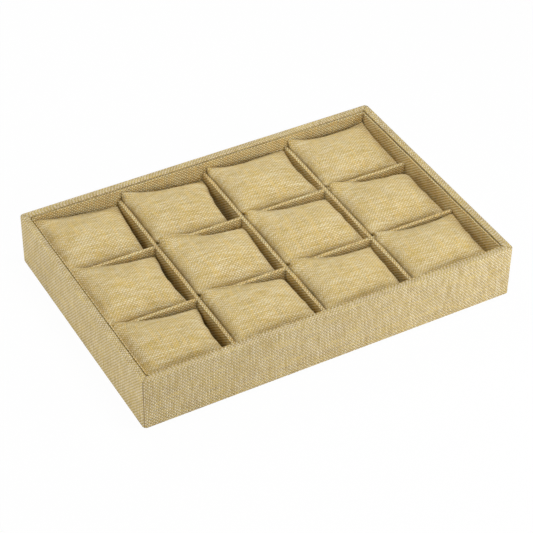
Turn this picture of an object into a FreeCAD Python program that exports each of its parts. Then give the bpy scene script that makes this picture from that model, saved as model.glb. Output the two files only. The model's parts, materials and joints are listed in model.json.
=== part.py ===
import FreeCAD, Part

import math
import os

# Jewelry tray: a linen-wrapped board frame, a lined inside, a drop-in divider grid
# and twelve loose pillows. Sizes are in millimetres.
# Frame: +X along the length, +Y towards the back, +Z up.
# The origin is the centre of the underside.

# Outside of the tray
tray_length = 350.0
tray_depth = 240.0
tray_height = 50.0
corner_radius = 2.5
rim_radius = 1.0

# Frame boards and the base let into their rabbet
board_thickness = 6.0
rabbet_width = 3.0
base_thickness = 3.0
base_clearance = 0.2

# Linen that is glued over boards and cards
linen_thickness = 0.5
wrap_turn_down = 12.0
wrap_turn_under = 12.0
wrap_seam_gap = 0.2

# Sheet under the base
sheet_clearance = 0.2

# Brads: two through each corner, and a row that holds the base
brad_clearance = 0.05
brad_head_height = 0.6
corner_brad_diameter = 1.2
corner_brad_head = 2.2
corner_brad_length = 20.0
corner_brad_low = 15.0
corner_brad_spacing = 20.0
base_brad_diameter = 1.0
base_brad_head = 1.8
base_brad_length = 13.0
base_brad_spacing_long = 110.0
base_brad_spacing_short = 120.0

# Lining cards that stand inside the frame
lining_card = 1.2
lining_drop = 2.2

# Floor pad
floor_card = 1.0
floor_clearance = 0.2

# Divider grid, half-lapped, standing on the floor pad
columns = 4
divider_card = 2.4
divider_height = 33.3
divider_clearance = 0.3
divider_edge_radius = 1.2
slot_clearance = 0.3
middle_row_depth = 74.2

# Pillows
pillow_clearance = 0.5
pillow_height = 42.5
pillow_seam_height = 19.0
pillow_draw_in = 4.0
pillow_ear_radius = 3.0
pillow_crown_bulge = 1.0
crown_flat_share = 0.12
foot_flat_share = 0.72
crown_corner_share = 0.6
cover_thickness = 0.8
filling_clearance = 0.3

# Places that follow from the sizes above
half_length = tray_length / 2
half_depth = tray_depth / 2
board_outset = linen_thickness
wall_thickness = board_thickness + 2 * linen_thickness
lining_thickness = lining_card + linen_thickness
divider_thickness = divider_card + 2 * linen_thickness
inner_half_length = half_length - wall_thickness - lining_thickness
inner_half_depth = half_depth - wall_thickness - lining_thickness
base_bottom = linen_thickness
base_top = base_bottom + base_thickness
floor_top = base_top + floor_card + linen_thickness
lining_top = tray_height - lining_drop
divider_top = floor_top + divider_height
lap_level = floor_top + divider_height / 2
slot_width = divider_thickness + slot_clearance
column_pitch = (2 * inner_half_length + divider_thickness) / columns
column_width = column_pitch - divider_thickness
row_divider_offset = (middle_row_depth + divider_thickness) / 2
outer_row_depth = inner_half_depth - row_divider_offset - divider_thickness / 2
outer_row_centre = inner_half_depth - outer_row_depth / 2
pillow_length = column_width - 2 * pillow_clearance
pillow_depth = min(middle_row_depth, outer_row_depth) - 2 * pillow_clearance
divider_columns = [(i - columns / 2) * column_pitch for i in range(1, columns)]
divider_rows = [row_divider_offset, -row_divider_offset]
cell_columns = [(i + 0.5 - columns / 2) * column_pitch for i in range(columns)]
cell_rows = [outer_row_centre, 0.0, -outer_row_centre]


def block(x0, x1, y0, y1, z0, z1):
    """Box between two corners."""
    return Part.makeBox(x1 - x0, y1 - y0, z1 - z0, FreeCAD.Vector(x0, y0, z0))


def upright_edges(shape):
    """Edges that run along Z."""
    return [e for e in shape.Edges if abs(e.tangentAt(e.FirstParameter).z) > 0.999]


def top_edges(shape, level):
    """Edges that lie in the plane z = level."""
    box_at = [e for e in shape.Edges if abs(e.BoundBox.ZMin - level) < 1e-6]
    return [e for e in box_at if abs(e.BoundBox.ZMax - level) < 1e-6]


def frame_ring(outset, low, high, width, radius, edge_radius):
    """Ring of the frame's outline, pulled in by outset, with rounded corners and a rounded top."""
    x = half_length - outset
    y = half_depth - outset
    outer = block(-x, x, -y, y, low, high)
    outer = outer.makeFillet(radius, upright_edges(outer))
    hole = block(-x + width, x - width, -y + width, y - width, low - 1, high + 1)
    ring = outer.cut(hole)
    return ring.makeFillet(edge_radius, top_edges(ring, high))


def side_wedge(side):
    """Prism that holds one side of the frame, cut at 45 degrees at both of its corners."""
    reach = wall_thickness + wrap_turn_under
    gap = wrap_seam_gap / math.sqrt(2)
    far = 1.0
    along_x = side in ("front", "back")
    a = half_length if along_x else half_depth
    b = half_depth if along_x else half_length
    corners = [(-a - far + gap, -b - far), (a + far - gap, -b - far), (a - reach - gap, -b + reach)]
    corners.append((-a + reach + gap, -b + reach))
    points = [FreeCAD.Vector(u, v, -far) for u, v in corners]
    face = Part.Face(Part.makePolygon(points + points[:1]))
    prism = face.extrude(FreeCAD.Vector(0, 0, tray_height + 2 * far))
    turns = {"front": 0, "right": 90, "back": 180, "left": 270}
    prism.rotate(FreeCAD.Vector(0, 0, 0), FreeCAD.Vector(0, 0, 1), turns[side])
    return prism


def wrap_ring():
    """Linen round the whole frame: over the rim, down inside, and under the bottom edge."""
    ring = frame_ring(0.0, 0.0, tray_height, wrap_turn_under, corner_radius, rim_radius)
    x = half_length - wall_thickness
    y = half_depth - wall_thickness
    hollow = block(-x, x, -y, y, linen_thickness, tray_height + 1)
    skin = frame_ring(0.0, 0.0, tray_height, wall_thickness, corner_radius, rim_radius)
    flange = ring.common(block(-half_length, half_length, -half_depth, half_depth, 0, linen_thickness))
    boards = board_ring()
    x += linen_thickness
    y += linen_thickness
    below = block(-x, x, -y, y, linen_thickness, tray_height - wrap_turn_down)
    return skin.cut(boards).cut(below).fuse(flange.cut(hollow)).removeSplitter()


def board_ring():
    """The four frame boards as one ring, with their top edges eased under the linen."""
    low = linen_thickness
    high = tray_height - linen_thickness
    inner_radius = corner_radius - linen_thickness
    inner_edge = rim_radius - linen_thickness
    return frame_ring(board_outset, low, high, board_thickness, inner_radius, inner_edge)


def base_panel(clearance):
    """Base board, let into the rabbet of the frame boards."""
    inset = board_outset + board_thickness - rabbet_width + clearance
    x = half_length - inset
    y = half_depth - inset
    return block(-x, x, -y, y, base_bottom, base_top)


def brad(diameter, head, length, clearance):
    """Brad along +Z with its head's top at the origin, or its hole with a clearance."""
    shank = Part.makeCylinder(diameter / 2 + clearance, length + clearance)
    cap = Part.makeCylinder(head / 2 + clearance, brad_head_height + clearance)
    return shank.fuse(cap).removeSplitter()


def corner_brads(clearance):
    """Brads through the front and back boards into the ends of the side boards."""
    made = []
    x = half_length - board_outset - board_thickness / 2
    y = half_depth - board_outset
    for level in (corner_brad_low, corner_brad_low + corner_brad_spacing):
        for sx in (-1, 1):
            for sy in (-1, 1):
                nail = brad(corner_brad_diameter, corner_brad_head, corner_brad_length, clearance)
                nail.rotate(FreeCAD.Vector(0, 0, 0), FreeCAD.Vector(1, 0, 0), sy * 90)
                nail.translate(FreeCAD.Vector(sx * x, sy * y, level))
                made.append(nail)
    return made


def base_brads(clearance):
    """Brads up through the base's edge into the boards above the rabbet."""
    inset = board_outset + board_thickness - rabbet_width / 2
    x = half_length - inset
    y = half_depth - inset
    places = [(i * base_brad_spacing_long, s * y) for i in (-1, 0, 1) for s in (-1, 1)]
    places += [(s * x, i * base_brad_spacing_short / 2) for i in (-1, 1) for s in (-1, 1)]
    made = []
    for px, py in places:
        nail = brad(base_brad_diameter, base_brad_head, base_brad_length, clearance)
        nail.translate(FreeCAD.Vector(px, py, base_bottom))
        made.append(nail)
    return made


def frame_boards():
    """Front and back boards run the full length, and the side boards stand between them."""
    ring = board_ring().cut(base_panel(0.0))
    for hole in corner_brads(brad_clearance) + base_brads(brad_clearance):
        ring = ring.cut(hole)
    y = half_depth - board_outset - board_thickness
    x = half_length
    far = half_depth
    cells = {
        "wall_front": block(-x, x, -far, -y, 0, tray_height),
        "wall_back": block(-x, x, y, far, 0, tray_height),
        "wall_left": block(-x, 0, -y, y, 0, tray_height),
        "wall_right": block(0, x, -y, y, 0, tray_height),
    }
    return {name: ring.common(cell) for name, cell in cells.items()}


def base_board():
    """Base board with the holes of its brads."""
    board = base_panel(base_clearance)
    for hole in base_brads(brad_clearance):
        board = board.cut(hole)
    return board


def base_sheet():
    """Sheet under the base, level with the turned-under linen."""
    inset = wrap_turn_under + sheet_clearance
    x = half_length - inset
    y = half_depth - inset
    return block(-x, x, -y, y, 0, linen_thickness)


def lining(side):
    """Lining card against one wall, and the linen over its face and top edge."""
    along_x = side in ("front", "back")
    reach = half_length - wall_thickness if along_x else inner_half_depth
    back = half_depth - wall_thickness if along_x else half_length - wall_thickness
    face = back - lining_thickness
    card_face = back - lining_card
    card_top = lining_top - linen_thickness
    card = block(-reach, reach, -back, -card_face, base_top, card_top)
    cover = block(-reach, reach, -back, -face, base_top, lining_top).cut(card)
    turns = {"front": 0, "right": 90, "back": 180, "left": 270}
    for shape in (card, cover):
        shape.rotate(FreeCAD.Vector(0, 0, 0), FreeCAD.Vector(0, 0, 1), turns[side])
    return card, cover


def floor_pad():
    """Card on the base inside the linings, and the linen over it."""
    x = inner_half_length - floor_clearance
    y = inner_half_depth - floor_clearance
    card_top = base_top + floor_card
    return block(-x, x, -y, y, base_top, card_top), block(-x, x, -y, y, card_top, floor_top)


def divider(half_span, slots, slot_low, slot_high):
    """Divider along X: its card and the linen folded over its top, with half-lap slots."""
    t = divider_thickness / 2
    c = divider_card / 2
    sleeve = block(-half_span, half_span, -t, t, floor_top, divider_top)
    long_edges = [e for e in top_edges(sleeve, divider_top) if e.Length > 2 * divider_thickness]
    sleeve = sleeve.makeFillet(divider_edge_radius, long_edges)
    card = block(-half_span, half_span, -c, c, floor_top, divider_top - linen_thickness)
    ease = max(divider_edge_radius - linen_thickness, linen_thickness)
    card = card.makeFillet(ease, [e for e in top_edges(card, divider_top - linen_thickness) if e.Length > 2 * t])
    sleeve = sleeve.cut(card)
    for place in slots:
        notch = block(place - slot_width / 2, place + slot_width / 2, -2 * t, 2 * t, slot_low, slot_high)
        card = card.cut(notch)
        sleeve = sleeve.cut(notch)
    return card, sleeve


def column_divider(place):
    """Divider from front to back, slotted from below."""
    span = inner_half_depth - divider_clearance
    made = divider(span, divider_rows, floor_top - 1, lap_level)
    for shape in made:
        shape.rotate(FreeCAD.Vector(0, 0, 0), FreeCAD.Vector(0, 0, 1), 90)
        shape.translate(FreeCAD.Vector(place, 0, 0))
    return made


def row_divider(place):
    """Divider along the length, slotted from above."""
    span = inner_half_length - divider_clearance
    made = divider(span, divider_columns, lap_level, divider_top + 1)
    for shape in made:
        shape.translate(FreeCAD.Vector(0, place, 0))
    return made


def pillow_outline(a, b, pull_in, radius, level):
    """Outline of four drawn-in or swelling sides and four round corners."""
    u = a - radius
    v = b - radius
    k = radius / math.sqrt(2)
    side_x = a - pull_in
    side_y = b - pull_in
    stops = [
        ((a, -v), (side_x, 0), (a, v)),
        ((a, v), (u + k, v + k), (u, b)),
        ((u, b), (0, side_y), (-u, b)),
        ((-u, b), (-u - k, v + k), (-a, v)),
        ((-a, v), (-side_x, 0), (-a, -v)),
        ((-a, -v), (-u - k, -v - k), (-u, -b)),
        ((-u, -b), (0, -side_y), (u, -b)),
        ((u, -b), (u + k, -v - k), (a, -v)),
    ]
    arcs = [Part.Arc(*[FreeCAD.Vector(x, y, level) for x, y in s]).toShape() for s in stops]
    return Part.Wire(arcs)


def pillow_half(inset, rise, flat_share):
    """Half of a pillow from its seam to its crown (rise above 0) or its foot (rise below 0)."""
    a = pillow_length / 2 - inset
    b = pillow_depth / 2 - inset
    outlines = []
    for share in (0.0, 0.3, 0.6, 0.82, 0.95, 1.0):
        spread = flat_share + (1 - flat_share) * math.sqrt(1 - share**2)
        pull_in = pillow_draw_in * (1 - share) ** 2 - pillow_crown_bulge * share
        radius = pillow_ear_radius * (1 - share) + crown_corner_share * b * spread * share
        outlines.append(pillow_outline(a * spread, b * spread, pull_in, radius, share * rise))
    return Part.makeLoft(outlines, True, False)


def pillow():
    """Cover of two sewn panels, and its filling, standing on the floor pad at the origin."""
    crown = pillow_height - pillow_seam_height
    foot = -pillow_seam_height
    inner = cover_thickness
    core = cover_thickness + filling_clearance
    top = pillow_half(0.0, crown, crown_flat_share).cut(pillow_half(inner, crown - inner, crown_flat_share))
    bottom = pillow_half(0.0, foot, foot_flat_share).cut(pillow_half(inner, foot + inner, foot_flat_share))
    upper = pillow_half(core, crown - core, crown_flat_share)
    lower = pillow_half(core, foot + core, foot_flat_share)
    cover = Part.makeCompound([top, bottom])
    filling = upper.fuse(lower).removeSplitter()
    for shape in (cover, filling):
        shape.translate(FreeCAD.Vector(0, 0, floor_top + pillow_seam_height))
    return cover, filling


def build():
    """All pieces by name."""
    pieces = frame_boards()
    ring = wrap_ring()
    for side in ("front", "back", "left", "right"):
        pieces["wrap_" + side] = ring.common(side_wedge(side))
        pieces["lining_card_" + side], pieces["lining_cover_" + side] = lining(side)
    pieces["base_board"] = base_board()
    pieces["base_sheet"] = base_sheet()
    pieces["corner_brads"] = Part.makeCompound(corner_brads(0.0))
    pieces["base_brads"] = Part.makeCompound(base_brads(0.0))
    pieces["floor_card"], pieces["floor_cover"] = floor_pad()
    for number, place in enumerate(divider_columns, 1):
        card, sleeve = column_divider(place)
        pieces[f"column_divider_{number}_card"] = card
        pieces[f"column_divider_{number}_sleeve"] = sleeve
    for number, place in enumerate(divider_rows, 1):
        card, sleeve = row_divider(place)
        pieces[f"row_divider_{number}_card"] = card
        pieces[f"row_divider_{number}_sleeve"] = sleeve
    cover, filling = pillow()
    for row, y in enumerate(cell_rows, 1):
        for column, x in enumerate(cell_columns, 1):
            for kind, shape in (("cover", cover), ("filling", filling)):
                copy = shape.copy()
                copy.translate(FreeCAD.Vector(x, y, 0))
                pieces[f"pillow_{row}_{column}_{kind}"] = copy
    return pieces


os.makedirs("parts", exist_ok=True)
for name, shape in build().items():
    shape.exportStep(f"parts/{name}.step")
    print(name, len(shape.Solids), "solids", round(shape.Volume, 2), "mm3", shape.isValid())
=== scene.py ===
"""Looks of the jewelry tray: linen over the frame and the divider grid, and twelve stuffed pillows.

Everything is in metres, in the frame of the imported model: +X along the length, +Y towards the back,
+Z up, with the origin at the centre of the underside.
"""

from __future__ import annotations

import json
import logging
import math
from dataclasses import dataclass, field
from enum import Enum

import bpy
import numpy as np
from mathutils import Matrix, Vector

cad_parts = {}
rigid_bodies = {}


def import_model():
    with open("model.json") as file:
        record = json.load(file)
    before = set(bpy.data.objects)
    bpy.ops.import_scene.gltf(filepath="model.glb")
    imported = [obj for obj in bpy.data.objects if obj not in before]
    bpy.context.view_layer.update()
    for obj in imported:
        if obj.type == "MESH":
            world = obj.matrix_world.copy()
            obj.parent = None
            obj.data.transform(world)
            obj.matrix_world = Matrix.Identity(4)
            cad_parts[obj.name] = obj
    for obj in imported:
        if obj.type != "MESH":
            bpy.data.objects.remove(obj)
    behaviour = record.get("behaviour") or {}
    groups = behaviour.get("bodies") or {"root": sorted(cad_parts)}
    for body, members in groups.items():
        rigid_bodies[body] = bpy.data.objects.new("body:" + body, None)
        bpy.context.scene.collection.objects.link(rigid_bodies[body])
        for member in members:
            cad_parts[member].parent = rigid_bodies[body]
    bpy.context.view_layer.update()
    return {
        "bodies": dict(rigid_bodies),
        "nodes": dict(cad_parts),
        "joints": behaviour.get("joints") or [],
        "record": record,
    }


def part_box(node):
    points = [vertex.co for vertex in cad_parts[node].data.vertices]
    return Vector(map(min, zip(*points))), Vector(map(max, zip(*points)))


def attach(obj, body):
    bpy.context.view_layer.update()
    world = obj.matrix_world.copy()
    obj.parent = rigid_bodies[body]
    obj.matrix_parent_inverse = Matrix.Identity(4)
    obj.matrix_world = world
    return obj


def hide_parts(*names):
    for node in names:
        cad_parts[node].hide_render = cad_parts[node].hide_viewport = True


LOG = logging.getLogger("jewelry_tray")
MM = 0.001
WEAVE_MAP = "weave"
Colour = tuple[float, float, float]
Pair = tuple[float, float]
Heights = tuple[float, ...]
Socket = bpy.types.NodeSocket
Material = bpy.types.Material
Piece = bpy.types.Object
WHITE: Colour = (1.0, 1.0, 1.0)


class Side(Enum):
    """Sides of the frame, with the quarter turns that bring the front side to each."""

    FRONT = 0
    RIGHT = 1
    BACK = 2
    LEFT = 3

    @property
    def label(self) -> str:
        """Name of the side in the names of nodes and pieces."""
        return self.name.lower()

    @property
    def lengthwise(self) -> bool:
        """True for the two long sides."""
        return self in (Side.FRONT, Side.BACK)

    def turn(self, points: np.ndarray) -> np.ndarray:
        """Turns points made for the front side about Z to this side.

        Args:
            points: Array of points, with x, y and z along its last axis.

        Returns:
            The turned points.
        """
        angle = self.value * math.pi / 2
        c, s = round(math.cos(angle)), round(math.sin(angle))
        return points @ np.array([[c, s, 0], [-s, c, 0], [0, 0, 1]], float)


class Run(Enum):
    """Which way a divider runs."""

    COLUMN = "column"
    ROW = "row"


class NodeSheet:
    """Adds shader nodes to one new material or sky and wires them."""

    # Places of a Mix node's sockets for colours: the factor and both colours, and the result.
    MIX_INPUTS = (0, 6, 7)
    MIX_RESULT = 2

    def __init__(self, owner: Material | bpy.types.World) -> None:
        """Clears the nodes of a new material or sky."""
        owner.use_nodes = True
        self.owner = owner
        self.tree = owner.node_tree
        self.tree.nodes.clear()

    def put(self, socket: Socket, value: object) -> None:
        """Links a socket into an input, or sets a plain value on it."""
        if isinstance(value, Socket):
            self.tree.links.new(value, socket)
        else:
            socket.default_value = value

    def add(self, kind: str, settings: dict | None = None, **inputs: object) -> bpy.types.Node:
        """Adds a node.

        Args:
            kind: Blender's name of the node type, without its ShaderNode prefix.
            settings: Attributes of the node.
            **inputs: Input values or sockets, by the socket's name with _ for a space.

        Returns:
            The new node.
        """
        node = self.tree.nodes.new("ShaderNode" + kind)
        for key, value in (settings or {}).items():
            setattr(node, key, value)
        for key, value in inputs.items():
            self.put(node.inputs[key.replace("_", " ")], value)
        return node

    def calc(self, operation: str, *values: object, clamp: bool = False) -> Socket:
        """Adds a Math node.

        Args:
            operation: Blender's name of the operation.
            *values: Numbers or sockets, in order.
            clamp: Whether the result is kept between 0 and 1.

        Returns:
            The result.
        """
        node = self.add("Math", {"operation": operation, "use_clamp": clamp})
        for socket, value in zip(node.inputs, values):
            self.put(socket, value)
        return node.outputs[0]

    def about(self, value: object, base_and_swing: Pair) -> Socket:
        """A base plus a swing times the value."""
        base, swing = base_and_swing
        return self.calc("MULTIPLY_ADD", value, swing, base)

    def noise(self, vector: object, scale: float = 1.0, detail: float = 2.0, rough: float = 0.5) -> Socket:
        """Noise between 0 and 1 over a vector."""
        node = self.add("TexNoise", None, Vector=vector, Scale=scale, Detail=detail, Roughness=rough)
        return node.outputs["Fac"]

    def vector(self, x: object, y: object, z: object = 0.0) -> Socket:
        """Vector of three numbers or sockets."""
        return self.add("CombineXYZ", None, X=x, Y=y, Z=z).outputs[0]

    def colours(self, value: object, places: Pair, tones: tuple[Colour, Colour]) -> Socket:
        """Runs a linear colour from one tone to another.

        Args:
            value: Number that it runs over.
            places: The numbers at which the two tones stand.
            tones: The two tones.

        Returns:
            The colour.
        """
        node = self.add("ValToRGB", None, Fac=value)
        for element, place, tone in zip(node.color_ramp.elements, places, tones):
            element.position = place
            element.color = (*tone, 1.0)
        return node.outputs["Color"]

    def blend(self, kind: str, factor: object, first: object, second: object) -> Socket:
        """Blends two colours, where a plain number counts as a grey.

        Args:
            kind: Blender's name of the way to blend.
            factor: Share of the second colour, 0 to 1.
            first: The colour below.
            second: The colour above.

        Returns:
            The blended colour.
        """
        node = self.add("Mix", {"data_type": "RGBA", "blend_type": kind})
        for index, value in zip(self.MIX_INPUTS, (factor, first, second)):
            self.put(node.inputs[index], value)
        return node.outputs[self.MIX_RESULT]

    def surface(
        self, colour: object, rough: object, height: object, relief: float, **fixed: float
    ) -> Material:
        """Ends the material in a principled surface with bump.

        Args:
            colour: Base colour.
            rough: Roughness.
            height: Height of the relief, 0 to 1.
            relief: Depth of the relief in metres.
            **fixed: Further plain numbers for the principled node's sockets.

        Returns:
            The finished material.
        """
        bump = self.add("Bump", None, Height=height, Strength=1.0, Distance=relief).outputs[0]
        shader = self.add("BsdfPrincipled", None, Base_Color=colour, Roughness=rough, Normal=bump, **fixed)
        self.add("OutputMaterial", None, Surface=shader.outputs[0])
        return self.owner


@dataclass(frozen=True)
class Linen:
    """Coarse plain-weave linen of pale threads across golden ones, both with slubs.

    Two sets of threads cross at their pitches. sin(pi a) and sin(pi b) of the thread counts give each
    thread's round back, and their product, positive and negative in a chequer, says which set is on top.
    Slubs along the threads and a speckle from crossing to crossing tip that balance one way or the other.

    pale and golden are the dark and light yarn of each set, and the gap colour is painted shade that
    darkens and warms what lies deep between threads.
    wander is how far a thread strays, in pitches. chequer, slub and speckle weigh the balance. fleck, cloud
    and rough are a base and a swing. The apart and layer values keep the noises unlike one another.
    """

    name: str
    pale: tuple[Colour, Colour]
    golden: tuple[Colour, Colour]
    # Colour of the painted shade deep between threads.
    painted_gap_shade: Colour = (0.56, 0.48, 0.32)
    pitch: Pair = (1.46 * MM, 1.58 * MM)
    wander: float = 0.3
    chequer: float = 0.75
    slub: Pair = (0.6, 0.7)
    speckle: float = 1.5
    relief: float = 0.8 * MM
    on_surface: bool = True
    drift_scale: float = 60.0
    drift_apart: tuple[float, float, float] = (0.37, 0.91, 0.53)
    slub_apart: Pair = (3.71, 2.93)
    slub_stretch: Pair = (0.1, 0.08)
    pale_range: Pair = (0.34, 0.64)
    golden_range: Pair = (0.34, 0.66)
    gap_range: Pair = (0.1, 0.75)
    back_power: float = 0.6
    under_height: Pair = (0.5, 0.5)
    fibres: float = 3.0
    fibre_relief: float = 0.25
    fleck: Pair = (0.85, 0.3)
    cloud: Pair = (0.94, 0.12)
    cloud_scale: float = 22.0
    rough: Pair = (0.82, 0.15)
    slub_layer: float = 9.0
    speck_layer: float = 5.0
    fibre_layer: float = 2.0

    def counts(self, n: NodeSheet, place: Socket) -> list[Socket]:
        """Counts the threads across both sets, each with a slow drift of its own.

        Args:
            n: Nodes of the material.
            place: Place on the cloth, in metres.

        Returns:
            The counts a and b.
        """
        moved = n.add("VectorMath", {"operation": "ADD"})
        for socket, value in zip(moved.inputs, (place, self.drift_apart)):
            n.put(socket, value)
        axes = n.add("SeparateXYZ", None, Vector=place).outputs
        counts = []
        for axis, pitch, ground in zip(axes, self.pitch, (place, moved.outputs[0])):
            drift = n.calc("SUBTRACT", n.noise(ground, self.drift_scale), 0.5)
            strayed = n.calc("MULTIPLY", drift, 2 * self.wander)
            counts.append(n.calc("MULTIPLY_ADD", axis, 1.0 / pitch, strayed))
        return counts

    def slubs(self, n: NodeSheet, a: Socket, b: Socket) -> tuple[Socket, Socket]:
        """Noise drawn out along each thread, and unrelated from one thread to the next.

        Args:
            n: Nodes of the material.
            a: Count of the pale threads.
            b: Count of the golden threads.

        Returns:
            The slubs of both sets, 0 to 1.
        """
        rows = zip((a, b), self.slub_apart)
        row_a, row_b = (n.calc("MULTIPLY", n.calc("FLOOR", count), apart) for count, apart in rows)
        along_a = n.calc("MULTIPLY", b, self.slub_stretch[0])
        along_b = n.calc("MULTIPLY", a, self.slub_stretch[1])
        slub_a = n.noise(n.vector(row_a, along_a))
        slub_b = n.noise(n.vector(along_b, row_b, self.slub_layer))
        return slub_a, slub_b

    def thread(self, n: NodeSheet, wave: Socket, on_top: Socket) -> Socket:
        """Height of a thread's back: a power of its sine, lower where the thread goes under."""
        back = n.calc("POWER", n.calc("ABSOLUTE", wave), self.back_power)
        return n.calc("MULTIPLY", back, n.about(on_top, self.under_height))

    def material(self) -> Material:
        """Builds the weave over the piece's own map, or over Object coordinates."""
        n = NodeSheet(bpy.data.materials.new(self.name))
        if self.on_surface:
            place = n.add("UVMap", {"uv_map": WEAVE_MAP}).outputs[0]
        else:
            place = n.add("TexCoord").outputs["Object"]
        a, b = self.counts(n, place)
        wave_a, wave_b = (n.calc("SINE", n.calc("MULTIPLY", count, math.pi)) for count in (a, b))
        slub_a, slub_b = self.slubs(n, a, b)
        even = 0.5 - (self.slub[0] - self.slub[1] + self.speckle) / 2
        speck = n.noise(n.vector(a, b, self.speck_layer), detail=1.0)
        tip = n.calc("MULTIPLY_ADD", speck, self.speckle, even)
        tip = n.calc("MULTIPLY_ADD", slub_a, self.slub[0], tip)
        tip = n.calc("MULTIPLY_ADD", slub_b, -self.slub[1], tip)
        over = n.calc("MULTIPLY_ADD", n.calc("MULTIPLY", wave_a, wave_b), self.chequer, tip, clamp=True)
        under = n.calc("SUBTRACT", 1.0, over)
        height = n.calc("MAXIMUM", self.thread(n, wave_a, over), self.thread(n, wave_b, under))
        tone_a = n.colours(slub_a, self.pale_range, self.pale)
        tone_b = n.colours(slub_b, self.golden_range, self.golden)
        yarn = n.blend("MIX", over, tone_b, tone_a)
        # Painted shade: where the threads' height is low, deep between them, the yarn is darkened towards
        # the gap colour.
        low, high = self.gap_range
        smooth = {"interpolation_type": "SMOOTHSTEP"}
        open_at = n.add("MapRange", smooth, Value=height, From_Min=low, From_Max=high).outputs["Result"]
        shade = n.colours(open_at, (0.0, 1.0), (self.painted_gap_shade, WHITE))
        fibre_a, fibre_b = (n.calc("MULTIPLY", count, self.fibres) for count in (a, b))
        fibre = n.noise(n.vector(fibre_a, fibre_b, self.fibre_layer), detail=3.0)
        fleck = n.about(fibre, self.fleck)
        cloud = n.about(n.noise(place, self.cloud_scale), self.cloud)
        shaded = n.blend("MULTIPLY", 1.0, yarn, shade)
        colour = n.blend("MULTIPLY", 1.0, shaded, n.calc("MULTIPLY", fleck, cloud))
        lift = n.calc("MULTIPLY_ADD", fibre, self.fibre_relief, height)
        fixed = {"Specular_IOR_Level": 0.2, "Sheen_Weight": 0.08, "Sheen_Roughness": 0.5}
        return n.surface(colour, n.about(fibre, self.rough), lift, self.relief, **fixed)


@dataclass(frozen=True)
class Board:
    """Pressed fibre sheet: flecks in the sheet and a faint lie of the fibres."""

    name: str
    light: Colour
    dark: Colour
    fleck_scale: float = 900.0
    relief: float = 0.05 * MM
    fleck_share: float = 0.6
    cloud_scale: float = 35.0
    tone_range: Pair = (0.38, 0.62)
    rough: Pair = (0.72, 0.2)

    def material(self) -> Material:
        """Builds flecks and cloudy tone over Object coordinates."""
        n = NodeSheet(bpy.data.materials.new(self.name))
        place = n.add("TexCoord").outputs["Object"]
        flecks = n.noise(place, self.fleck_scale, detail=3.0, rough=0.7)
        cloud = n.noise(place, self.cloud_scale)
        tone = n.calc("MULTIPLY", flecks, self.fleck_share)
        tone = n.calc("MULTIPLY_ADD", cloud, 1 - self.fleck_share, tone)
        colour = n.colours(tone, self.tone_range, (self.dark, self.light))
        return n.surface(colour, n.about(flecks, self.rough), flecks, self.relief)


@dataclass(frozen=True)
class BradSteel:
    """Drawn steel wire with fine marks along it."""

    name: str
    light: Colour = (0.62, 0.62, 0.64)
    dark: Colour = (0.36, 0.36, 0.38)
    mark_scale: float = 2500.0
    tone_range: Pair = (0.3, 0.7)
    rough: Pair = (0.3, 0.25)
    relief: float = 0.01 * MM

    def material(self) -> Material:
        """Builds a metal with worn tone."""
        n = NodeSheet(bpy.data.materials.new(self.name))
        marks = n.noise(n.add("TexCoord").outputs["Object"], self.mark_scale)
        colour = n.colours(marks, self.tone_range, (self.dark, self.light))
        return n.surface(colour, n.about(marks, self.rough), marks, self.relief, Metallic=1.0)


PALE_THREAD = ((0.75, 0.615, 0.39), (0.92, 0.82, 0.6))
GOLDEN_THREAD = ((0.43, 0.28, 0.05), (0.71, 0.525, 0.14))
FRAME_LINEN = Linen("linen", PALE_THREAD, GOLDEN_THREAD)
PILLOW_LINEN = Linen(
    "pillow_linen",
    pale=((0.88, 0.71, 0.4), (0.98, 0.87, 0.59)),
    golden=((0.51, 0.335, 0.05), (0.79, 0.56, 0.14)),
    # Painted shade deep between the pillow's threads.
    painted_gap_shade=(0.42, 0.34, 0.2),
    pitch=(1.32 * MM, 1.47 * MM),
    chequer=0.5,
    slub=(1.0, 0.8),
    speckle=1.3,
)
# The frame's linen made again for the linings and dividers: its pale threads are brighter, painted light
# that lifts the lit divider tops, and its gap colour is darker, deeper painted shade on the faces down in
# the gaps.
INNER_LINEN = Linen(
    "inner_linen",
    pale=((1.0, 0.8, 0.44), (1.0, 0.93, 0.6)),
    golden=((0.42, 0.24, 0.03), (0.76, 0.5, 0.1)),
    painted_gap_shade=(0.34, 0.25, 0.13),
    pitch=(1.47 * MM, 1.7 * MM),
    slub=(0.5, 0.5),
    speckle=0.8,
    relief=1.0 * MM,
)
FLOOR_LINEN = Linen("floor_linen", PALE_THREAD, GOLDEN_THREAD, on_surface=False)
FIBREBOARD = Board("fibreboard", (0.38, 0.26, 0.14), (0.27, 0.175, 0.09))
HARDBOARD = Board("hardboard", (0.17, 0.1, 0.05), (0.11, 0.06, 0.03))
# The card's dark brown is partly its own kraft colour and partly painted shade, darkened so that it reads
# dark where it shows deep in grooves and slots.
CARD = Board("card", (0.2, 0.14, 0.085), (0.13, 0.09, 0.05), 1400.0)
BACKING_PAPER = Board("backing_paper", (0.022, 0.02, 0.018), (0.012, 0.011, 0.01), 1800.0, 0.03 * MM)
BRAD_STEEL = BradSteel("brad_steel")


def grid_quads(index: np.ndarray) -> np.ndarray:
    """Quads over a grid of vertex numbers, facing as the first axis crossed with the second.

    Args:
        index: Array of vertex numbers, one row for each step along the first axis.

    Returns:
        Array of quads, shaped steps x steps x 4.
    """
    return np.stack([index[:-1, :-1], index[1:, :-1], index[1:, 1:], index[:-1, 1:]], axis=-1)


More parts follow.
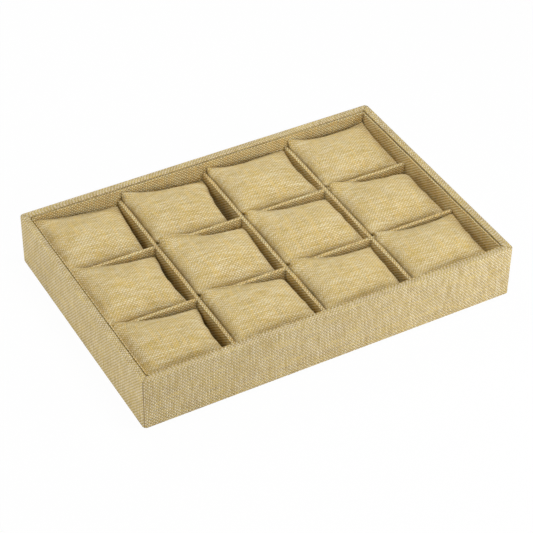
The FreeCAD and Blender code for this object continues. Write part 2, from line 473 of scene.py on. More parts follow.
def make_piece(name: str, points: np.ndarray, quads: np.ndarray, maps: np.ndarray) -> Piece:
    """Puts arrays into a new mesh object at the origin.

    Args:
        name: Name of the piece.
        points: Vertex places, in metres.
        quads: Vertex numbers, four to a face.
        maps: Weave map of each face corner, in metres.

    Returns:
        The new object, smooth shaded.
    """
    mesh = bpy.data.meshes.new(name)
    mesh.vertices.add(len(points))
    mesh.vertices.foreach_set("co", points.astype(np.float32).ravel())
    mesh.loops.add(quads.size)
    mesh.loops.foreach_set("vertex_index", quads.astype(np.int32).ravel())
    mesh.polygons.add(len(quads))
    mesh.polygons.foreach_set("loop_start", np.arange(0, quads.size, 4, dtype=np.int32))
    mesh.update(calc_edges=True)
    layer = mesh.uv_layers.new(name=WEAVE_MAP)
    layer.data.foreach_set("uv", maps.astype(np.float32).ravel())
    mesh.polygons.foreach_set("use_smooth", np.ones(len(quads), dtype=bool))
    piece = bpy.data.objects.new(name, mesh)
    bpy.context.scene.collection.objects.link(piece)
    return piece


def make_sheet(
    name: str,
    points: np.ndarray,
    maps: tuple[np.ndarray, np.ndarray],
    thickness: float,
    kept: np.ndarray | None = None,
) -> Piece:
    """Makes a grid of points into a piece of cloth with its thickness on the side away from its faces.

    Args:
        name: Name of the piece.
        points: Grid of vertex places, in metres.
        maps: The weave map's two distances over the grid, in metres.
        thickness: Thickness of the cloth, in metres.
        kept: Which of the grid's faces are made, or all of them.

    Returns:
        The new piece.
    """
    flat = np.stack(np.broadcast_arrays(*maps), axis=-1).reshape(-1, 2)
    quads = grid_quads(np.arange(len(flat)).reshape(points.shape[:2]))
    quads = quads.reshape(-1, 4) if kept is None else quads[kept]
    piece = make_piece(name, points.reshape(-1, 3), quads, flat[quads])
    solid = piece.modifiers.new("cloth_thickness", "SOLIDIFY")
    solid.thickness = thickness
    solid.offset = -1.0
    return piece


def dress(piece: Piece, finish: Material, slot: str, body: str, *nodes: str) -> None:
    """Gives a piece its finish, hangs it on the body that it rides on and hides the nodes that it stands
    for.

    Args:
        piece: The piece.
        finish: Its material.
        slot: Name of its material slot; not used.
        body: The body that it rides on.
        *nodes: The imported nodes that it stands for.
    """
    piece.data.materials.append(finish)
    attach(piece, body)
    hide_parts(*nodes)
    LOG.info("piece %s on %s for %s", piece.name, body, ", ".join(nodes))


@dataclass(frozen=True)
class Ripple:
    """Slow seeded sines, of about a height up and down, that make glued cloth lie a little unevenly."""

    height: float
    seed: int
    waves: tuple[float, ...]

    def at(self, along: np.ndarray, across: np.ndarray | float = 0.0, number: int = 0) -> np.ndarray:
        """Mean of sines of the wave lengths, each in its own direction and phase, times the height.

        Args:
            along: Distances along the piece, in metres.
            across: Distances across it, in metres.
            number: Number of the piece, added to the seed.

        Returns:
            The unevenness, shaped as the two arrays together.
        """
        draw = np.random.default_rng(self.seed + number)
        total = np.zeros(np.broadcast(along, across).shape)
        for wave in self.waves:
            turn, start = draw.uniform(0, 2 * math.pi, 2)
            total += np.sin(2 * math.pi * (along * math.cos(turn) + across * math.sin(turn)) / wave + start)
        return self.height * (total / len(self.waves))


def polyline(*runs: np.ndarray) -> np.ndarray:
    """Joins runs of points, dropping each run's first point where it repeats the last one."""
    parts = [runs[0]] + [r[1:] if np.allclose(r[0], q[-1]) else r for q, r in zip(runs, runs[1:])]
    return np.concatenate(parts)


def straight(start: Pair, end: Pair, steps: int) -> np.ndarray:
    """Points along a straight run in the profile plane."""
    return np.linspace(start, end, steps + 1)


def bend(centre: Pair, radius: float, start: float, end: float, steps: int) -> np.ndarray:
    """Points round an arc in the profile plane, with its angles in degrees."""
    turn = np.radians(np.linspace(start, end, steps + 1))
    return np.array(centre) + radius * np.column_stack([np.cos(turn), np.sin(turn)])


def travelled(points: np.ndarray) -> np.ndarray:
    """Distance along a line of points from its first one."""
    return np.concatenate([[0.0], np.cumsum(np.linalg.norm(np.diff(points, axis=0), axis=1))])


@dataclass
class FrameWrap:
    """Linen round the four walls, one length to a wall, meeting in a seam at each corner.

    seam_gaps are half of each seam's opening: front left, front right, back right and back left.
    """

    half_length: float = 175.0 * MM
    half_depth: float = 120.0 * MM
    height: float = 50.0 * MM
    wall: float = 6.6 * MM
    turn_down: float = 12.0 * MM
    turn_under: float = 12.0 * MM
    thickness: float = 0.5 * MM
    rim_bend: float = 0.8 * MM
    foot_bend: float = 0.8 * MM
    corner: float = 3.4 * MM
    least_corner: float = 0.5 * MM
    seam_depth: float = 0.12 * MM
    seam_width: float = 0.8 * MM
    seam_gaps: tuple[float, ...] = (0.26 * MM, 0.06 * MM, 0.06 * MM, 0.06 * MM)
    gap_ripple: Ripple = Ripple(0.6, 71, (0.009, 0.017, 0.04))
    lie: Ripple = Ripple(0.035 * MM, 11, (0.019, 0.031, 0.057, 0.083))
    step: float = 4.0 * MM
    corner_steps: int = 7
    rim_steps: int = 6
    face_steps: int = 22
    foot_steps: int = 4
    map_shift: float = 0.4

    def profile(self) -> np.ndarray:
        """Cross-section as inset and height: up the inner face, over the rim, down outside, under."""
        b, f, w, h = self.rim_bend, self.foot_bend, self.wall, self.height
        return polyline(
            straight((w, h - self.turn_down), (w, h - b), self.rim_steps),
            bend((w - b, h - b), b, 0, 90, self.rim_steps),
            straight((w - b, h), (b, h), self.rim_steps),
            bend((b, h - b), b, 90, 180, self.rim_steps),
            straight((0, h - b), (0, f), self.face_steps),
            bend((f, f), f, 180, 270, self.foot_steps),
            straight((f, 0), (self.turn_under, 0), self.foot_steps),
        )

    def corner_turn(self, level: np.ndarray, corner: int) -> np.ndarray:
        """Angles round half a corner, from its seam to the flat of the wall.

        Args:
            level: Heights of the profile's points, as a column.
            corner: Number of the corner, from the front left one to the right.

        Returns:
            Angles from the wall's own facing, one row for each profile point.
        """
        uneven = 1 + self.gap_ripple.at(level, 0.0, corner)
        widest = math.pi / 4 - uneven * self.seam_gaps[corner] / self.corner
        return widest * np.linspace(1, 0, self.corner_steps + 1)

    def sheet(self, side: Side) -> Piece:
        """Carries the profile along one wall and half-way round both of its corners.

        Each profile point follows the frame's outline set in by its own inset, with its own corner
        radius, so the lengths meet on the corner's diagonal. Near the seam the cloth dips inwards, and
        half the seam's uneven gap is left open at each end.

        Args:
            side: The wall.

        Returns:
            The sheet as an object.
        """
        profile = self.profile()
        inset, level = profile.T[..., None]
        a, b = (self.half_length, self.half_depth)[:: 1 if side.lengthwise else -1]
        radius = np.maximum(self.corner - inset, self.least_corner)
        left, right = (self.corner_turn(level, (side.value + k) % len(Side)) for k in (0, 1))
        ends = np.ones(self.corner_steps + 1)
        share = np.linspace(-1, 1, round(2 * a / self.step) + 1)[1:-1]
        facing = np.hstack([-left, np.zeros((len(profile), share.size)), right[:, ::-1]])
        x = (a - inset - radius) * np.concatenate([-ends, share, ends]) + radius * np.sin(facing)
        y = inset - b + radius * (1 - np.cos(facing))
        outer = int(np.argmin(profile[:, 0]))
        along = travelled(np.column_stack([x[outer], y[outer]]))[None, :]
        across = travelled(profile)[:, None]
        slope = np.gradient(profile, axis=0)
        slope /= np.linalg.norm(slope, axis=1)[:, None]
        inward, upward = slope.T[..., None]
        nearest = np.minimum(along, along.max() - along)
        dip = -self.seam_depth * np.exp(-((nearest / self.seam_width) ** 2))
        push = dip + self.lie.at(along, across, side.value)
        push = push * np.clip(level / (2 * self.foot_bend), 0, 1)
        x = x - push * upward * np.sin(facing)
        y = y + push * upward * np.cos(facing)
        z = level - push * inward
        points = side.turn(np.stack([x, y, z], axis=-1))
        maps = (along + self.map_shift * side.value, across)
        return make_sheet(f"wrap_{side.label}_linen", points, maps, self.thickness)

    def build(self, linen: Material) -> None:
        """Makes and dresses the four lengths."""
        for side in Side:
            dress(self.sheet(side), linen, "linen", "tray", f"wrap_{side.label}")


@dataclass
class Linings:
    """Linen-covered cards inside the walls, their rounded top edges a little below the rim.

    groove is the gap left between the wall and a card's cover, and lean is how far the top edge stands in
    from the wall.
    """

    half_length: float = 168.0 * MM
    half_depth: float = 113.0 * MM
    card: float = 1.7 * MM
    foot: float = 3.5 * MM
    top: float = 48.9 * MM
    stand_off: float = 0.06 * MM
    groove: float = 0.4 * MM
    thickness: float = 0.45 * MM
    edge_bend: float = 0.6 * MM
    lean: float = 0.25 * MM
    lean_power: int = 20
    turn_over: float = 7.0 * MM
    bow: Ripple = Ripple(0.1 * MM, 31, (0.023, 0.041, 0.067, 0.09))
    bow_power: int = 4
    crest: Ripple = Ripple(0.08 * MM, 41, (0.05, 0.03, 0.12))
    crest_power: int = 8
    step: float = 4.0 * MM
    face_steps: int = 16
    edge_steps: int = 6
    back_steps: int = 3
    map_shift: float = 0.43
    map_first: int = 5

    def sheet(self, side: Side) -> Piece:
        """Carries the cover's profile, up the face, over the top edge and down behind, along one wall.

        The face bows by a ripple that fades behind the card. High powers of the rise lean the top edge in
        and make it a little wavy.

        Args:
            side: The wall.

        Returns:
            The sheet as an object.
        """
        reach = self.half_length - self.stand_off if side.lengthwise else self.half_depth - self.card
        back = self.half_depth if side.lengthwise else self.half_length
        r, w, h = self.edge_bend, self.card, self.top
        profile = polyline(
            straight((w, self.foot), (w, h - r), self.face_steps),
            bend((w - r, h - r), r, 0, 90, self.edge_steps),
            bend((self.groove + r, h - r), r, 90, 180, self.edge_steps),
            straight((self.groove, h - r), (self.groove, h - self.turn_over), self.back_steps),
        )
        inset, level = profile.T[..., None]
        along = np.linspace(-reach, reach, round(2 * reach / self.step) + 1)[None, :]
        across = travelled(profile)[:, None]
        rise = np.clip((level - self.foot) / (self.top - self.foot), 0, 1)
        bowed = self.bow.at(along, across, side.value) * np.clip(inset / w, 0, 1) ** self.bow_power
        x = np.broadcast_to(along, bowed.shape)
        y = -back + inset + bowed + self.lean * rise**self.lean_power
        z = level + rise**self.crest_power * self.crest.at(along, 0.0, side.value)
        points = side.turn(np.stack([x, y, z], axis=-1))
        maps = (across, along + self.map_shift * (side.value + self.map_first))
        return make_sheet(f"lining_{side.label}_linen", points, maps, self.thickness)

    def build(self, linen: Material) -> None:
        """Makes and dresses the four linings."""
        for side in Side:
            dress(self.sheet(side), linen, "linen", "tray", f"lining_cover_{side.label}")


@dataclass
class DividerGrid:
    """Half-lapped dividers: linen sleeves folded over the top edges of their cards.

    slot is the width of a lap, and first_column sets the columns' ripples apart from the rows'.
    """

    columns: int = 3
    rows: int = 2
    thickness: float = 0.45 * MM
    edge_bend: float = 0.6 * MM
    slot: float = 3.7 * MM
    lean: Ripple = Ripple(0.1 * MM, 51, (0.06, 0.11, 0.17))
    crest: Ripple = Ripple(0.1 * MM, 71, (0.02, 0.035, 0.05))
    crest_power: int = 6
    first_column: int = 10
    step: float = 3.0 * MM
    foot_steps: int = 5
    face_steps: int = 6
    edge_steps: int = 5
    top_steps: int = 3
    map_shift: float = 0.39

    def places(self, run: Run) -> list[float]:
        """Middle lines of the dividers that run one way.

        Args:
            run: Which way they run.

        Returns:
            Their places, in metres.
        """
        axis = 0 if run is Run.COLUMN else 1
        count = self.columns if run is Run.COLUMN else self.rows
        boxes = [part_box(f"{run.value}_divider_{number}_sleeve") for number in range(1, count + 1)]
        return [(low[axis] + high[axis]) / 2 for low, high in boxes]

    def profile(self, half: float, foot: float, lap: float, top: float) -> np.ndarray:
        """Cross-section as offset and height: up one face, over the top edge and down the other.

        Args:
            half: Half the divider's thickness.
            foot: Height of its lower edge.
            lap: Height of the lap, half-way up.
            top: Height of its top edge.

        Returns:
            The points of the upturned U.
        """
        r = self.edge_bend
        face = polyline(
            straight((half, foot), (half, lap), self.foot_steps),
            straight((half, lap), (half, top - r), self.face_steps),
            bend((half - r, top - r), r, 0, 90, self.edge_steps),
        )
        edge = straight((half - r, top), (r - half, top), self.top_steps)
        return polyline(face, edge, face[::-1] * (-1, 1))

    def sheet(self, run: Run, number: int) -> Piece:
        """Carries an upturned U along one divider and leaves out the faces of its lap slots.

        The column dividers are slotted from below and the row dividers from above. A ripple leans the
        sleeve sideways towards its top, and another makes the top edge a little wavy.

        Args:
            run: Which way the divider runs.
            number: Its number, from 1.

        Returns:
            The sleeve as an object.
        """
        low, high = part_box(f"{run.value}_divider_{number}_sleeve")
        column = run is Run.COLUMN
        across_axis, along_axis = (0, 1) if column else (1, 0)
        place = (low[across_axis] + high[across_axis]) / 2
        half = (high[across_axis] - low[across_axis]) / 2
        reach, foot, top = high[along_axis], low[2], high[2]
        lap = (foot + top) / 2
        profile = self.profile(half, foot, lap, top)
        slots = np.array(self.places(Run.ROW if column else Run.COLUMN))
        edges = np.concatenate([slots - self.slot / 2, slots + self.slot / 2])
        stations = np.linspace(-reach, reach, round(2 * reach / self.step) + 1)
        near = np.min(np.abs(stations[:, None] - edges[None, :]), axis=1)
        along = np.sort(np.concatenate([stations[near > self.step / 3], edges]))[None, :]
        offset, level = profile.T[..., None]
        across = travelled(profile)[:, None]
        order = number + (self.first_column if column else 0)
        rise = np.clip((level - foot) / (top - foot), 0, 1)
        crest = rise**self.crest_power * self.crest.at(along, 0.0, order)
        side_at = offset + rise * self.lean.at(along, 0.0, order)
        along_at = np.broadcast_to(along, side_at.shape)
        x, y = (place - side_at, along_at) if column else (along_at, place + side_at)
        points = np.stack([x, y, level + crest], axis=-1)
        middle = (along[0, 1:] + along[0, :-1]) / 2
        mid_level = (profile[1:, 1] + profile[:-1, 1]) / 2
        in_slot = np.min(np.abs(middle[:, None] - slots[None, :]), axis=1) < self.slot / 2
        cut_side = mid_level < lap if column else mid_level > lap
        kept = ~(cut_side[:, None] & in_slot[None, :])
        maps = (across, along + self.map_shift * (self.lean.seed + order))
        return make_sheet(f"{run.value}_divider_{number}_linen", points, maps, self.thickness, kept)

    def build(self, linen: Material) -> None:
        """Makes and dresses the five sleeves."""
        for run, count in ((Run.COLUMN, self.columns), (Run.ROW, self.rows)):
            for number in range(1, count + 1):
                piece = self.sheet(run, number)
                dress(piece, linen, "linen", "divider_grid", f"{run.value}_divider_{number}_sleeve")


# Settings of the cloth solver for an enlarged casing.
CASING_CLOTH: dict[str, float] = {
    "quality": 8,
    "mass": 0.3,
    "tension_stiffness": 12.0,
    "compression_stiffness": 0.2,
    "shear_stiffness": 0.2,
    "bending_stiffness": 4.0,
    "tension_damping": 15.0,
    "compression_damping": 15.0,
    "shear_damping": 15.0,
    "air_damping": 4.0,
    "use_pressure": True,
    "uniform_pressure_force": 4.5,
}


@dataclass
class PillowCasing:
    """Two linen panels sewn round their edge, swollen by cloth pressure into a knife-edge pillow.

    The cloth is solved ten times larger than life, where the solver is steadier. A panel point has flat
    places s and t from -1 to 1, and the lower panel shares the upper one's rim. The plain sizes are not
    used.
    """

    length: float = 88.0 * MM
    depth: float = 78.0 * MM
    steps_s: int = 40
    steps_t: int = 36
    rim_ease: float = 0.8
    round_share: float = 0.15
    enlarge: float = 10.0
    frames: int = 28
    first_rise: float = 6.0 * MM
    first_folds: Ripple = Ripple(1 / 6, 0, (0.011, 0.017, 0.026, 0.04))
    plain_rise: float = 21.0 * MM
    plain_size: float = 0.95
    plain_draw_in: float = 0.07
    plain_power: float = 0.9

    def flat(self) -> tuple[np.ndarray, np.ndarray]:
        """Places s and t of the panel grid, spaced closer towards the rim by a sine."""
        widest = math.pi / 2 * self.rim_ease
        lines = (np.linspace(-1, 1, steps + 1) for steps in (self.steps_s, self.steps_t))
        return np.meshgrid(*(np.sin(line * widest) / math.sin(widest) for line in lines), indexing="ij")

    def numbers(self) -> tuple[np.ndarray, np.ndarray]:
        """Vertex numbers of the upper and the lower panel, which share their rim."""
        rows, columns = self.steps_s + 1, self.steps_t + 1
        upper = np.arange(rows * columns).reshape(rows, columns)
        lower = upper.copy()
        inner = (rows - 2) * (columns - 2)
        lower[1:-1, 1:-1] = upper.size + np.arange(inner).reshape(rows - 2, columns - 2)
        return upper, lower

    def spread(self, values: np.ndarray) -> np.ndarray:
        """Lays a panel grid's values out by vertex number, upper panel first."""
        return np.concatenate([values.ravel(), values[1:-1, 1:-1].ravel()])

    def faces(self) -> np.ndarray:
        """Quads of both panels, each facing out."""
        upper, lower = (grid_quads(numbers).reshape(-1, 4) for numbers in self.numbers())
        return np.concatenate([upper, lower[:, ::-1]])

    def maps(self, shift: float) -> np.ndarray:
        """Weave map: the flat place on each panel, with the two panels set apart.

        Args:
            shift: How far the weave is moved along the panels, in metres.

        Returns:
            The map of each face corner.
        """
        s, t = self.flat()
        flat = np.stack([t * self.depth / 2, s * self.length / 2 + shift], axis=-1).reshape(-1, 2)
        quads = grid_quads(self.numbers()[0]).reshape(-1, 4)
        return np.concatenate([flat[quads], flat[quads[:, ::-1]] + (2 * self.depth, 0.0)])

    def outline(self) -> list[np.ndarray]:
        """Flat places x and y of the panel grid, with the corners rounded a little."""
        s, t = self.flat()
        keep, share = 1 - self.round_share, self.round_share
        return [
            size / 2 * v * (keep + share * np.sqrt(1 - other**2 / 2))
            for size, v, other in ((self.length, s, t), (self.depth, t, s))
        ]

    def start(self, seed: int) -> np.ndarray:
        """Nearly flat sewn panels, with their middles raised by an uneven cosine arch.

        Args:
            seed: Seed of the unevenness.

        Returns:
            Points in metres.
        """
        s, t = self.flat()
        x, y = self.outline()
        arch = np.cos(s * math.pi / 2) * np.cos(t * math.pi / 2)
        z = self.first_rise * arch * (1 + self.first_folds.at(x, y, seed))
        sign = np.concatenate([np.ones(s.size), -np.ones((self.steps_s - 1) * (self.steps_t - 1))])
        return np.column_stack([self.spread(x), self.spread(y), self.spread(z) * sign])

    def swollen(self, seed: int) -> np.ndarray:
        """Blows the panels up with cloth pressure and returns the settled points.

        Args:
            seed: Seed of the small unevenness that starts the folds.

        Returns:
            Points in metres, with the seam near z = 0.
        """
        quads = self.faces()
        cloth = make_piece("casing", self.start(seed) * self.enlarge, quads, np.zeros((quads.size, 2)))
        solver = cloth.modifiers.new("cloth", "CLOTH")
        for key, value in CASING_CLOTH.items():
            setattr(solver.settings, key, value)
        solver.settings.effector_weights.gravity = 0.0
        solver.collision_settings.use_collision = False
        solver.point_cache.frame_start = 1
        solver.point_cache.frame_end = self.frames
        scene = bpy.context.scene
        for frame in range(1, self.frames + 1):
            scene.frame_set(frame)
        solved = cloth.evaluated_get(bpy.context.evaluated_depsgraph_get())
        points = np.empty(len(solved.data.vertices) * 3, dtype=np.float32)
        solved.data.vertices.foreach_get("co", points)
        mesh = cloth.data
        bpy.data.objects.remove(cloth)
        bpy.data.meshes.remove(mesh)
        scene.frame_set(1)
        return points.reshape(-1, 3).astype(float) / self.enlarge


@dataclass(frozen=True)
class Lie:
    """How one pillow lies in its compartment.

    back, sides and front are the seam's heights above the table in millimetres, evenly spaced from left
    to right along the back edge, at the middles of the two side edges, and along the front edge. bulge is
    how far the right side stands out at the back, in the middle and at the front, in millimetres. ear
    raises the tip of the back right ear a little more. over is how far the left ears, back and front, lie
    over the row dividers, in millimetres. turn is in degrees and casing picks the swollen form.
    """

    back: Heights
    sides: Heights
    front: Heights
    bulge: Heights
    ear: float
    over: Pair
    turn: float
    casing: int


LIES: dict[tuple[int, int], Lie] = {
    (1, 1): Lie((47.5, 43, 38.6, 31.8), (32, 25), (41, 26, 27), (2.5, 0.3, -3.2), 1, (0, 1.5), 0.6, 0),
    (1, 2): Lie((47.5, 40.3, 34.2, 28.4), (33, 25.5), (42, 26, 26), (2.9, -3, -4.9), 4, (0, 1.6), 0, 1),
    (1, 3): Lie((46, 38.8, 39.5, 33.4), (33, 28), (41.5, 27, 29), (2, 0, 2.6), 1, (0, 1.6), 0, 2),
    (1, 4): Lie((47.5, 40.3, 39.4, 38), (32, 29), (40, 27, 29), (4.2, 2.7, 2.1), 1, (0, 0.5), -0.4, 0),
    (2, 1): Lie((46.8, 42.4, 35.8, 28.4), (32, 25), (41, 26, 27), (0.8, -2.5, -0.8), 1, (1.5, 1.5), 0, 2),
    (2, 2): Lie((47, 45, 31.5, 28.8), (33, 26), (42, 26, 26), (3.4, 0.9, -1), 2, (1.6, 1.6), 0, 0),
    (2, 3): Lie((46, 39, 30.8, 29.2), (33, 28), (41.5, 26, 28), (1.8, 2.2, 3), 1, (1.6, 1.6), 0, 1),
    (2, 4): Lie((46, 40, 30.3, 26.4), (32, 27), (41.5, 27, 27), (2.1, 0.5, 1.8), 0, (0.5, 1.6), -0.4, 2),
    (3, 1): Lie((46.6, 41.6, 35, 30.2), (32, 25), (40, 25, 26), (1, -2.1, -0.5), 0, (1.5, 0), 0, 1),
    (3, 2): Lie((47, 45, 38, 27), (33, 27), (41, 25, 27), (-1, 0.3, 1.6), 1, (1.6, 0), -0.6, 2),
    (3, 3): Lie((47.3, 42.4, 33.6, 31.8), (32, 27), (41, 25, 27), (0.7, 0.1, -1.7), 0, (1.6, 0), 0, 0),
    (3, 4): Lie((46.3, 40.2, 38, 35.6), (32, 28), (41, 26, 29), (3.9, 1.6, 1.8), 0, (1.6, 0), 0, 1),
}


@dataclass
class Pillows:
    """The twelve stuffed pillows, fitted into their compartments from a few swollen casings.

    roundness is a power of the rise for the left, right, front and back sides, and a lower one makes a
    fuller side. press_out is how far the left and right, and the front and back, are pressed from the
    casing's drawn-in rim, 0, to the flat panel's outline, 1. edge_reach is the power that brings in the
    heights of the front and the back edge. The bulge runs over bulge_reach of the half depth and comes in
    towards the right with the power bulge_spread. ear_reach and ear_spread are powers that keep a change to
    the ears, and ear_push moves the left ones out, in millimetres. Above the ledge, the top of the row
    dividers, the left ears may reach out of the compartment.
    """

    casing: PillowCasing = field(default_factory=PillowCasing)
    seeds: tuple[int, ...] = (5, 8, 13)
    floor: float = 5.0 * MM
    crown: float = 42.5 * MM
    crown_share: float = 0.5
    foot_press: float = 1.1
    roundness: tuple[float, ...] = (0.5, 0.88, 0.95, 0.85)
    middle_weight: float = 0.15
    press_out: tuple[Pair, Pair] = ((0.9, 0.5), (0.2, 0.15))
    margin: float = 0.35 * MM
    half_width: float = 40.3 * MM
    middle_row: int = 2
    middle_half_depth: float = 37.1 * MM
    outer_half_depth: float = 35.4 * MM
    edge_reach: Pair = (2.6, 5.0)
    bulge_reach: float = 0.7
    bulge_spread: float = 1.5
    ear_reach: float = 9.0
    ear_spread: float = 4.0
    ear_push: float = 4.5
    ledge: float = 38.9 * MM
    ledge_soft: float = 0.8 * MM
    map_shift: float = 0.11

    def pressed(self, shape: np.ndarray, half: Pair) -> list[np.ndarray]:
        """Presses a swollen casing out against the walls, so that its drawn-in sides straighten.

        Each line across the casing is carried onto new ends. An end lies between the casing's own
        drawn-in rim and the flat panel's outline, both at the compartment's size.

        Args:
            shape: Points of the swollen casing.
            half: Half its width and depth in the compartment.

        Returns:
            Its x and y places.
        """
        casing = self.casing
        panel = casing.outline()
        places = []
        for axis, (reach, shares) in enumerate(zip(half, self.press_out)):
            grid = shape[: panel[axis].size, axis].reshape(panel[axis].shape)
            low, high = (np.take(grid, end, axis) for end in (0, -1))
            outline = np.take(panel[axis], -1, axis)
            drawn = (high - low) / np.max(high - low)
            near, far = (reach * ((1 - p) * drawn + p * outline / outline.max()) for p in shares)
            lines = (np.expand_dims(v, axis) for v in (low, (near + far) / (high - low), near))
            start, size, first = (casing.spread(np.broadcast_to(v, grid.shape)) for v in lines)
            places.append((shape[:, axis] - start) * size - first)
        return places

    def rounded(self, s: np.ndarray, t: np.ndarray) -> np.ndarray:
        """Power for the casing's rise: each side's own roundness near that side, and 1 in the middle.

        Args:
            s: Places across the panel.
            t: Places along the panel.

        Returns:
            The powers.
        """
        near = [np.clip(v, 0, 1) ** 2 for v in (-s, s, -t, t)]
        total = sum(near) + self.middle_weight
        return (sum(w * r for w, r in zip(near, self.roundness)) + self.middle_weight) / total

    def seam(self, lie: Lie, s: np.ndarray, t: np.ndarray) -> np.ndarray:
        """Height of the seam over the flat panel, above the floor.

        Across the panel it runs smoothly through the heights from left to right. Along it, the back and
        the front heights come in with a power of the distance from the middle.

        Args:
            lie: How the pillow lies.
            s: Places across the panel.
            t: Places along the panel.

        Returns:
            The heights.
        """
        back, middle, front = (self.through(h, s) for h in (lie.back, lie.sides, lie.front))
        to_front, to_back = (np.clip(v, 0, 1) ** reach for v, reach in zip((-t, t), self.edge_reach))
        level = back * to_back + middle * (1 - to_back - to_front) + front * to_front
        tip = (np.clip(s, 0, 1) * np.clip(t, 0, 1)) ** self.ear_reach
        return (level + lie.ear * tip) * MM - self.floor

    @staticmethod
    def through(heights: Heights, s: np.ndarray) -> np.ndarray:
        """Polynomial through heights that are evenly spaced from s = -1 to 1."""
        places = np.linspace(-1, 1, len(heights))
        return np.polyval(np.polyfit(places, heights, len(heights) - 1), s)

    def fitted(self, shape: np.ndarray, lie: Lie, half: Pair) -> np.ndarray:
        """Fits a swollen casing into a compartment.

        The casing is pressed out and its right side bulged. Its seam is brought to its heights, and its
        crown and foot to level. It is turned, its left ears are pushed into the corners, and it is kept
        inside the walls and on the floor.

        Args:
            shape: Points of the swollen casing.
            lie: How the pillow lies.
            half: Half the compartment's width and depth.

        Returns:
            Points with the compartment's centre at x = y = 0 and the floor at z = 0.
        """
        s, t = (self.casing.spread(v) for v in self.casing.flat())
        a, b = (h - self.margin for h in half)
        x, y = self.pressed(shape, (a, b))
        bulge = self.through(lie.bulge, np.clip(-t / self.bulge_reach, -1, 1)) * MM
        x = x + bulge * np.clip(s, 0, 1) ** self.bulge_spread
        power = self.rounded(s, t)
        up = (np.clip(shape[:, 2], 0, None) / shape[:, 2].max()) ** power
        down = (np.clip(-shape[:, 2], 0, None) / -shape[:, 2].min()) ** power
        seam = self.seam(lie, s, t)
        high = up > self.crown_share
        rise = np.min((self.crown - seam)[high] / up[high])
        z = seam + rise * up - self.foot_press * seam * down
        turn = math.radians(lie.turn)
        x, y = x * math.cos(turn) - y * math.sin(turn), x * math.sin(turn) + y * math.cos(turn)
        left = np.clip(-s, 0, 1) ** self.ear_spread
        back, front = (left * np.clip(v, 0, 1) ** self.ear_spread * MM for v in (t, -t))
        x = x - self.ear_push * (back + front)
        y = y + lie.over[0] * back - lie.over[1] * front
        clear = np.clip((z + self.floor - self.ledge) / self.ledge_soft, 0, 1) * MM
        room = b + np.where(y > 0, lie.over[0], lie.over[1]) * clear
        return np.column_stack([self.held(x, a), self.held(y, room), self.rested(z)])

    @staticmethod
    def held(values: np.ndarray, limit: float | np.ndarray, soft: float = 0.6 * MM) -> np.ndarray:
        """Keeps places within plus and minus a limit, by a hyperbolic tangent over a band before it.

        Args:
            values: The places.
            limit: The limit, or one for each place.
            soft: Width of the band.

        Returns:
            The places within the limit.
        """
        over = np.abs(values) - (limit - soft)
        eased = limit - soft + soft * np.tanh(np.clip(over, 0, None) / soft)
        return np.sign(values) * np.where(over > 0, eased, np.abs(values))

    @staticmethod
    def rested(levels: np.ndarray, soft: float = 2.0 * MM) -> np.ndarray:
        """Flattens what would sink through the floor, by a soft maximum below three times its softness."""
        return np.where(levels > 3 * soft, levels, soft * np.logaddexp(0, (levels - 0.5 * soft) / soft))

    def build(self, linen: Material) -> None:
        """Makes and dresses the twelve pillows."""
        shapes = [self.casing.swollen(seed) for seed in self.seeds]
        quads = self.casing.faces()
        for number, ((row, column), lie) in enumerate(LIES.items()):
            node = f"pillow_{row}_{column}"
            low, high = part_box(f"{node}_cover")
            centre = (low + high) / 2
            half_depth = self.middle_half_depth if row == self.middle_row else self.outer_half_depth
            points = self.fitted(shapes[lie.casing], lie, (self.half_width, half_depth))
            points = points + np.array([centre.x, centre.y, self.floor])
            piece = make_piece(f"{node}_casing", points, quads, self.casing.maps(self.map_shift * number))
            smooth = piece.modifiers.new("smooth", "SUBSURF")
            smooth.levels = 1
            smooth.render_levels = 1
            dress(piece, linen, "pillow_linen", node, f"{node}_cover", f"{node}_filling")


def bearing(azimuth: float, elevation: float) -> Vector:
    """Direction away from the tray, from degrees right of the front and degrees up."""
    a, e = math.radians(azimuth), math.radians(elevation)
    return Vector((math.sin(a) * math.cos(e), -math.cos(a) * math.cos(e), math.sin(e)))


@dataclass
class PhotoCamera:
    """Camera at the photograph's place, worked out from the tray's corners."""

    azimuth: float = -29.553
    elevation: float = 39.91
    distance: float = 1.647
    target: tuple[float, float, float] = (0.008202, 0.010106, 0.0)
    roll: float = 0.786
    lens: float = 127.05
    sensor: float = 36.0
    clip: Pair = (0.05, 30.0)

    def build(self) -> None:
        """Places the camera and makes it the scene's."""
        back = bearing(self.azimuth, self.elevation)
        a, r = math.radians(self.azimuth), math.radians(self.roll)
        right = Vector((math.cos(a), math.sin(a), 0.0))
        up = back.cross(right)
        right, up = right * math.cos(r) + up * math.sin(r), up * math.cos(r) - right * math.sin(r)
        data = bpy.data.cameras.new("photo_camera")
        data.lens = self.lens
        data.sensor_width = self.sensor
        data.clip_start, data.clip_end = self.clip
        camera = bpy.data.objects.new("photo_camera", data)
        turned = Matrix((right, up, back)).transposed().to_4x4()
        camera.matrix_world = Matrix.Translation(Vector(self.target) + back * self.distance) @ turned
        bpy.context.scene.collection.objects.link(camera)
        bpy.context.scene.camera = camera


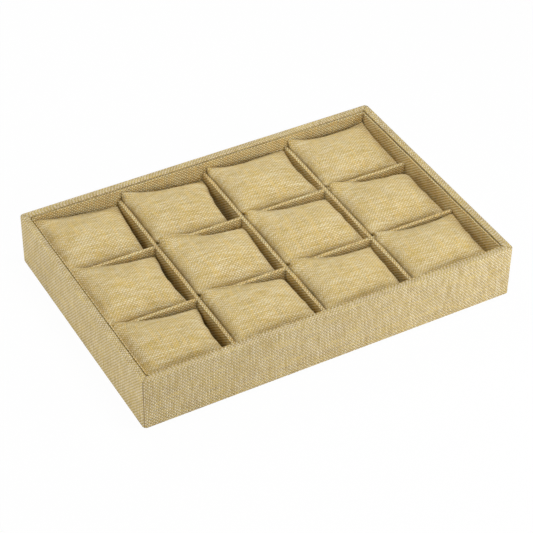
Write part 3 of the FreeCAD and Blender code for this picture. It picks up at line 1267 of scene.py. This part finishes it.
@dataclass(frozen=True)
class Lamp:
    """Soft lamp aimed at the tray.

    azimuth is in degrees right of the front, elevation in degrees, power in watts, and size, across and
    tall, and reach in metres.
    """

    name: str
    azimuth: float
    elevation: float
    power: float
    size: Pair = (0.5, 0.5)
    reach: float = 1.1

    def build(self) -> None:
        """Hangs the lamp at its distance from the tray."""
        away = bearing(self.azimuth, self.elevation)
        data = bpy.data.lights.new(self.name, "AREA")
        data.shape = "RECTANGLE"
        data.size, data.size_y = self.size
        data.energy = self.power
        lamp = bpy.data.objects.new(self.name, data)
        lamp.location = away * self.reach
        lamp.rotation_euler = away.to_track_quat("Z", "Y").to_euler()
        bpy.context.scene.collection.objects.link(lamp)


@dataclass
class Studio:
    """White sweep and soft lamps.

    shown_white is how much of the floor is plain white where it is seen, and the rest keeps its shadow.
    """

    floor_half: float = 4.0
    floor_colour: Colour = (0.86, 0.86, 0.86)
    shown_white: float = 0.97
    lamps: tuple[Lamp, ...] = (
        Lamp("key", 45.0, 23.0, 4.4),
        Lamp("low_key", 40.0, 5.0, 1.0, (0.4, 0.12), 0.75),
        Lamp("fill", 0.0, 25.0, 2.1),
        Lamp("side", 270.0, 25.0, 2.0),
        Lamp("low_side", 270.0, 5.0, 2.3, (0.4, 0.12), 0.9),
        Lamp("rear", 180.0, 50.0, 4.4),
        Lamp("overhead", 55.0, 80.0, 5.7),
    )

    @staticmethod
    def seen(n: NodeSheet) -> Socket:
        """1 for rays from the camera and for what shows in gloss or glass, else 0."""
        path = n.add("LightPath").outputs
        shown = n.calc("MAXIMUM", path["Is Camera Ray"], path["Is Glossy Ray"])
        return n.calc("MAXIMUM", shown, path["Is Transmission Ray"])

    def floor(self) -> None:
        """White floor that keeps a faint shadow where it is seen."""
        h = self.floor_half
        points = np.array([(-h, -h, 0), (h, -h, 0), (h, h, 0), (-h, h, 0)], float)
        piece = make_piece("floor", points, np.array([[0, 1, 2, 3]]), points[:, :2])
        n = NodeSheet(bpy.data.materials.new("sweep"))
        lit = n.add("BsdfDiffuse", None, Color=(*self.floor_colour, 1.0))
        white = n.add("Emission", None, Color=(*WHITE, 1.0), Strength=1.0)
        mix = n.add("MixShader", None, Fac=n.calc("MULTIPLY", self.seen(n), self.shown_white))
        n.put(mix.inputs[1], lit.outputs[0])
        n.put(mix.inputs[2], white.outputs[0])
        n.add("OutputMaterial", None, Surface=mix.outputs[0])
        piece.data.materials.append(n.owner)

    def world(self) -> None:
        """Even sky: white where it is seen, and dark elsewhere."""
        world = bpy.data.worlds.new("studio")
        bpy.context.scene.world = world
        n = NodeSheet(world)
        shade = n.add("Background", None, Color=(*WHITE, 1.0), Strength=self.seen(n))
        n.add("OutputWorld", None, Surface=shade.outputs[0])

    def build(self) -> None:
        """Makes the floor, the sky and the lamps."""
        self.floor()
        self.world()
        for lamp in self.lamps:
            lamp.build()
        bpy.context.scene.view_settings.view_transform = "Standard"


def dress_nodes(nodes: dict[str, Piece]) -> None:
    """Gives the hidden boards, cards, sheet, floor cover and brads their finishes.

    Args:
        nodes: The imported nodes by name.
    """
    starts = {
        FIBREBOARD: ("wall_",),
        HARDBOARD: ("base_board",),
        BACKING_PAPER: ("base_sheet",),
        BRAD_STEEL: ("base_brads", "corner_brads"),
        FLOOR_LINEN: ("floor_cover",),
        CARD: ("lining_card", "floor_card", "column_divider", "row_divider"),
    }
    for finish, names in starts.items():
        material = finish.material()
        for name, node in nodes.items():
            if not name.startswith(names) or name.endswith("_sleeve"):
                continue
            node.data.materials.clear()
            node.data.materials.append(material)
            LOG.info("node %s in %s", name, finish.name)


def main() -> None:
    """Builds the camera, the pieces and the studio."""
    logging.basicConfig(level=logging.INFO, format="%(name)s: %(message)s")
    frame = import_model()
    PhotoCamera().build()
    Studio().build()
    FrameWrap().build(FRAME_LINEN.material())
    inner_linen = INNER_LINEN.material()
    Linings().build(inner_linen)
    DividerGrid().build(inner_linen)
    Pillows().build(PILLOW_LINEN.material())
    dress_nodes(frame["nodes"])


if __name__ == "__main__":
    main()
